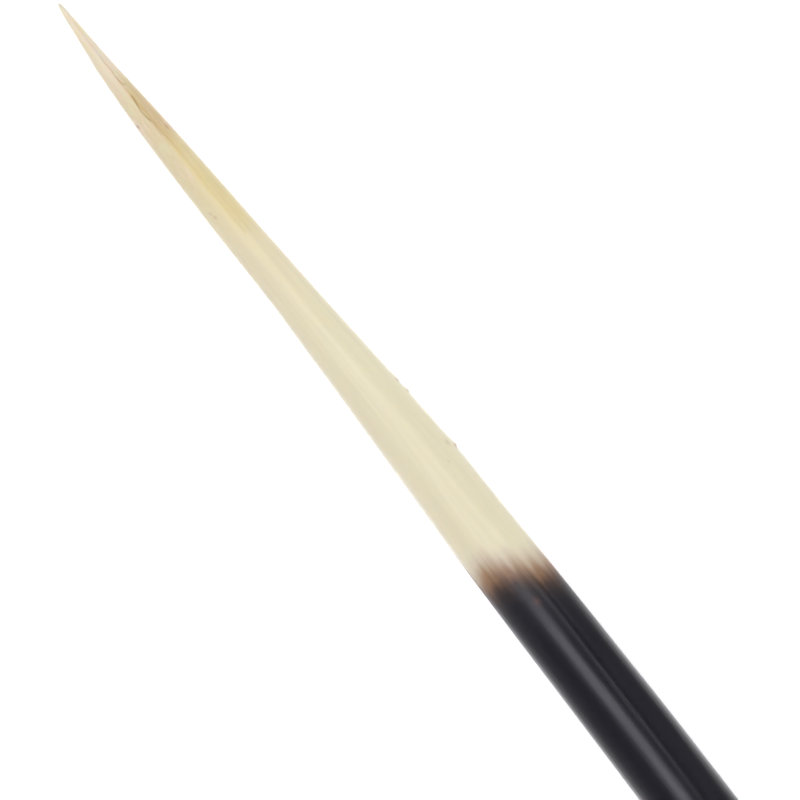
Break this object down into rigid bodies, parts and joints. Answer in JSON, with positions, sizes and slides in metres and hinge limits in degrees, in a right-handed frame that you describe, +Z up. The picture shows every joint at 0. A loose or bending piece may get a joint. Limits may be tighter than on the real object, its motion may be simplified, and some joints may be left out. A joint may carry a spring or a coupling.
{
  "type": "porcupine quill",
  "caption": "Stout crested porcupine quill, gently bowed, with a cream point, dark bands and a narrow pale root, lying on its side.",
  "frame": {"origin": "on the surface that the quill lies on, under the middle of its box", "axes": "+X along the quill from the root to the point, +Z up from the surface, and the shaft bows towards -Y"},
  "size_m": [0.205, 0.0078, 0.0058],
  "materials": {
    "keratin": "smooth keratin, semi-gloss, cream with soft-edged blackish brown bands, amber near the point"
  },
  "bodies": {
    "root": {"quill": "keratin"}
  },
  "joints": []
}
